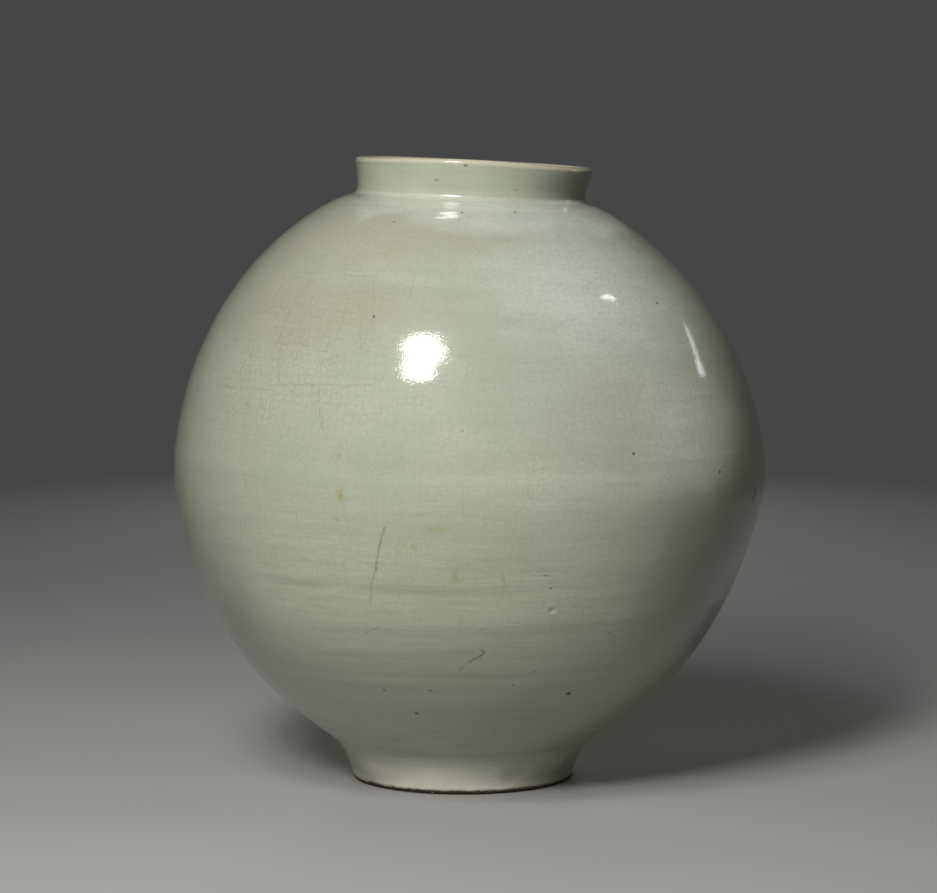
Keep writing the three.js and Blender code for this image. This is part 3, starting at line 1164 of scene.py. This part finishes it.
def lip_glaze(on_glaze):
    """The same clear glaze on the collar, thin on the lip, where the cream body shows through, with
    painted shade on the collar's right.
    """
    made, node = new_material("thin_lip_glaze_over_porcelain")
    place, level, banded = surface_places(node)
    colour = laid_over(node, "b3baa1", "babea7", patches(node, place, "lip clouds"))
    flat = node("VectorMath MULTIPLY", [banded, LIP_SQUEEZE])
    colour = laid_over(node, colour, "9ca28b", patches(node, flat, "lip bands"), strength=0.22)
    # Painted shade on the collar's right side.
    colour = toned(node, place, colour, COLLAR_PAINTED_SHADE, on_glaze)
    lines = craze(node, place, ring_map, level)
    colour = laid_over(node, colour, "87836a", lines, strength=0.14)
    edge = relief(node, level, [(place, 6, 3, LIP_RAGGED)])
    start, full = (LIP_LEVEL - below for below in LIP_THIN)
    thin = node("MapRange", [edge, start, full, 0, LIP_THINNEST])
    colour = laid_over(node, colour, "ccc6ac", thin)
    colour = laid_over(node, colour, "cabb9f", patches(node, place, "lip wear"), thin)
    specks = spots(node, wavered(node, place, "lip specks"), COLLAR_SPECKS, on_glaze, edge=0.8)
    colour = laid_over(node, colour, "4a4532", specks)
    height = relief(node, 0, [(flat, 5, 2, 0.1)])
    surfaced(node, colour, height, roughness=0.34, coated=True)
    return made


# Grey on the foot, partly smoke and partly painted shade where the foot turns from the light: turn,
# level, reach across, reach up, how strong.
FOOT_SMOKE_AND_SHADE = (
    (60, 8, 84, 16, 0.66),
    (26, 13, 22, 10, 0.45),
    (-62, 8, 44, 15, 0.55),
    (-150, 14, 50, 26, 0.4),
)
# Where the foot's glaze runs thin and pale, the paleness partly painted light low on the foot, and
# where it is bare, darkened partly as painted contact shadow: how ragged the edge is, the levels.
FOOT_THIN_RAGGED = 7
FOOT_THIN = (27, 9)
FOOT_BARE_RAGGED = -2.6
FOOT_BARE = (3.2, 1.2)


def foot_glaze(on_glaze):
    """Thin warm glaze on the turned foot, paler low down, and bare sanded biscuit on the edge that
    it stood on; the paleness is partly painted light, the grey partly painted shade, the dark edge
    partly painted contact shadow.
    """
    made, node = new_material("thin_foot_glaze_bare_biscuit_and_painted_light_and_shadow")
    place, level, banded = surface_places(node)
    clouds = patches(node, place, "foot clouds")
    edge = node("Math MULTIPLY_ADD", [clouds, FOOT_THIN_RAGGED, level])
    thin = node("MapRange", [edge, *FOOT_THIN], interpolation_type="SMOOTHSTEP")
    # Paler low on the foot: thin glaze, and partly painted light where light reaches under the
    # belly.
    colour = laid_over(node, "c3c5af", "e9e6d2", thin)
    # Grey on the foot's sides: partly smoke, partly painted shade where the foot turns from the
    # light.
    smoke_and_shade = spots(node, wavered(node, place, "smoke and shade"), FOOT_SMOKE_AND_SHADE, on_glaze, edge=0.9)
    colour = laid_over(node, colour, "73766a", smoke_and_shade)
    lines = craze(node, place, ring_map, level)
    colour = laid_over(node, colour, "7e7458", lines, strength=0.08)
    edge = relief(node, level, [(place, 8, 4, FOOT_BARE_RAGGED)])
    bare = node("MapRange", [edge, *FOOT_BARE])
    grain = patches(node, place, "biscuit grain")
    # Bare biscuit on the bearing edge, darkened and widened as painted contact shadow under the
    # foot.
    colour = laid_over(node, colour, laid_over(node, "56493a", "30291f", grain), bare)
    flat = node("VectorMath MULTIPLY", [banded, RING_SQUEEZE])
    gritty = node("Math MULTIPLY", [grain, bare])
    height = node("Math MULTIPLY", [gritty, 0.12])
    height = relief(node, height, [(flat, 4, 2, 0.1)])
    roughness = node("MapRange", {"Value": bare, "To Min": 0.16, "To Max": 0.85})
    surfaced(node, colour, height, roughness)
    return made


def kiln_grit():
    """Coarse sand that fused to the foot in the kiln: dull grains from buff to nearly black."""
    made, node = new_material("fused_kiln_sand")
    place = surface_places(node)[0]
    colour = laid_over(node, "2e2a20", "8a7a5c", patches(node, place, "sand"))
    surfaced(node, colour, relief(node, 0, [(place, 0.5, 2, 1)]), roughness=0.7)
    return made


# Grains on the foot's edge: how many, their radii, seats on the round, stretch, sink, clearance.
GRAIN_COUNT = 54
GRAIN_SIZES = (0.35, 0.85)
GRAIN_SEATS = (300, 352)
GRAIN_STRETCH = (0.82, 1.12)
GRAIN_SINK = 0.2
GRAIN_CLEARANCE = 1.15
# Large grains: turn, radius of the grain.
LARGE_GRAINS = ((-27, 1.3), (-15.5, 1), (64, 1), (158, 1.2), (221, 0.9))


def build_grit(draw):
    """Grains sunk into the foot's rounded outer edge."""
    grains = list(LARGE_GRAINS)
    for _ in range(GRAIN_COUNT):
        grains.append((draw.uniform(-180, 180), draw.uniform(*GRAIN_SIZES)))
    work = bmesh.new()
    for turn, size in grains:
        rise = math.radians(draw.uniform(*GRAIN_SEATS))
        radius = FOOT_FACE_OUTER + FOOT_OUTER_ROUND * math.cos(rise) - size * GRAIN_SINK
        level = FOOT_OUTER_ROUND + FOOT_OUTER_ROUND * math.sin(rise)
        level = max(level, size * GRAIN_CLEARANCE)
        middle = settled(np.float64(radius), np.float64(turn), np.float64(level))
        made = bmesh.ops.create_icosphere(work, subdivisions=2, radius=1)
        for vert in made["verts"]:
            stretch = size * draw.uniform(*GRAIN_STRETCH)
            vert.co = Vector(middle) * MM + vert.co * stretch * MM
    mesh = bpy.data.meshes.new("foot_grit")
    work.to_mesh(mesh)
    work.free()
    return placed("foot_grit", mesh)


def seen_directly(node):
    """One for what the camera, gloss and clear things see, and none for scattered light."""
    rays = node("LightPath", {}).node.outputs
    names = ("Is Camera Ray", "Is Glossy Ray", "Is Transmission Ray")
    return strongest(node, [rays[name] for name in names])


# The floor and the background: sizes in metres, tones as seen, and as scattered light meets them.
FLOOR_RADIUS = 4
FLOOR_SEGMENTS = 96
FLOOR_FADE = (0.45, 2.25)
FADE_EASE = 2.7
FLOOR_TONE = "b4b3b0"
FLOOR_SCATTER = "8a8987"
BACKGROUND_TONE = "464646"
SCATTERED_TONE = "1c1c1d"


def build_floor():
    """A plain pale floor that fades into the background far from the jar."""
    work = bmesh.new()
    bmesh.ops.create_circle(work, cap_ends=True, segments=FLOOR_SEGMENTS, radius=FLOOR_RADIUS)
    mesh = bpy.data.meshes.new("studio_floor")
    work.to_mesh(mesh)
    work.free()
    made, node = new_material("matte_painted_floor")
    raw = node("TexCoord", {}, output="Object")
    mottle = node("TexNoise", {"Vector": raw, "Scale": 9, "Detail": 3})
    pale = laid_over(node, FLOOR_TONE, FLOOR_SCATTER, mottle, strength=0.06)
    colour = laid_over(node, FLOOR_SCATTER, pale, seen_directly(node))
    matte = node("BsdfDiffuse", {"Color": colour})
    clear = node("BsdfTransparent", {})
    away = node("VectorMath LENGTH", [raw], output="Value")
    eased = node("Math ADD", [away, FADE_EASE])
    eased = node("Math DIVIDE", [1, eased])
    near, far = (1 / (FADE_EASE + reach) for reach in FLOOR_FADE)
    fade = node("MapRange", [eased, near, far], interpolation_type="SMOOTHSTEP")
    mixed = node("MixShader", [fade, matte, clear])
    node("OutputMaterial", {"Surface": mixed})
    mesh.materials.append(made)
    floor = bpy.data.objects.new("studio_floor", mesh)
    bpy.context.scene.collection.objects.link(floor)


def build_world():
    """A plain grey background that lights the jar only a little."""
    world = bpy.data.worlds.new("studio")
    world.use_nodes = True
    world.node_tree.nodes.clear()
    node = functools.partial(add_node, world.node_tree)
    colour = laid_over(node, SCATTERED_TONE, BACKGROUND_TONE, seen_directly(node))
    shine = node("Background", {"Color": colour, "Strength": 1})
    node("OutputWorld", {"Surface": shine})
    bpy.context.scene.world = world


JAR_MIDDLE = Vector((0, 0, BELLY_LEVEL)) * MM
# Lamps: turn, rise, distance, width and height in metres, roll, watts, whether gloss shows it.
LAMPS = {
    "key_softbox_upper": (-21.6, 48.8, 1.8, 0.5, 0.31, 0, 5.8, True),
    "key_softbox_lower": (-22.1, 41.9, 1.8, 0.37, 0.32, 0, 4.2, True),
    "left_card": (-20, 30.5, 2.2, 0.5, 0.5, 0, 25.4, False),
    "front_card": (-2, 12, 2.4, 1.4, 1, 0, 7.4, False),
    "top_strip": (190, 70.2, 1.64, 0.15, 0.05, 0, 0.18, True),
    "right_strip": (120, 24, 2, 0.52, 0.09, 29, 0.3, True),
    "right_strip_end": (116.4, 21.1, 2, 0.15, 0.12, 29, 0.09, True),
    "right_glint": (100, 49, 2, 0.18, 0.012, -30, 0.19, True),
    "rear_card": (180, 0.5, 2.4, 0.6, 0.36, 0, 26, False),
}


def build_lamps():
    """Soft studio lamps round the jar, each aimed at its middle."""
    for name, (turn, rise, distance, width, height, roll, watts, shows) in LAMPS.items():
        lamp = bpy.data.lights.new(name, "AREA")
        lamp.shape = "ELLIPSE"
        lamp.size = width
        lamp.size_y = height
        lamp.energy = watts
        heading = Vector((
            math.sin(math.radians(turn)) * math.cos(math.radians(rise)),
            -math.cos(math.radians(turn)) * math.cos(math.radians(rise)),
            math.sin(math.radians(rise)),
        ))
        stand = bpy.data.objects.new(name, lamp)
        stand.location = JAR_MIDDLE + heading * distance
        aim = (-heading).to_track_quat("-Z", "Y").to_matrix()
        aim.rotate(Matrix.Rotation(math.radians(roll), 3, heading))
        stand.rotation_euler = aim.to_euler()
        stand.visible_camera = False
        stand.visible_glossy = shows
        bpy.context.scene.collection.objects.link(stand)


def build_camera():
    """The camera at the photograph's viewing angle."""
    lens = bpy.data.cameras.new("photo_camera")
    lens.sensor_fit = "HORIZONTAL"
    lens.sensor_width = SENSOR_WIDTH
    lens.lens = PHOTO_FOCAL / PHOTO_WIDTH * SENSOR_WIDTH
    camera = bpy.data.objects.new("photo_camera", lens)
    place = Vector(CAMERA_PLACE) * MM
    camera.location = place
    camera.rotation_euler = (Vector(CAMERA_TARGET) * MM - place).to_track_quat("-Z", "Y").to_euler()
    bpy.context.scene.collection.objects.link(camera)
    bpy.context.scene.camera = camera


def dress(pieces, grit, on_glaze):
    """Gives every piece its finish and its body, and hides the solid that it stands for."""
    body = crackled_glaze(on_glaze)
    finishes = {"mouth_collar": lip_glaze(on_glaze), "foot_ring": foot_glaze(on_glaze)}
    for name, piece in pieces.items():
        piece.data.materials.append(finishes.get(name, body))
        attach(piece, "root")
        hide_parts(name)
    grit.data.materials.append(kiln_grit())
    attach(grit, "root")


build_camera()
draw = random.Random(RANDOM_SEED)
waves = hand_waves(draw)
outline = outside_outline()
shells = build_shells(outline, waves)
dress(shells, build_grit(draw), lambda turn, level: on_jar(turn, level, outline, waves))
build_floor()
build_world()
build_lamps()
bpy.context.scene.view_settings.view_transform = "Standard"
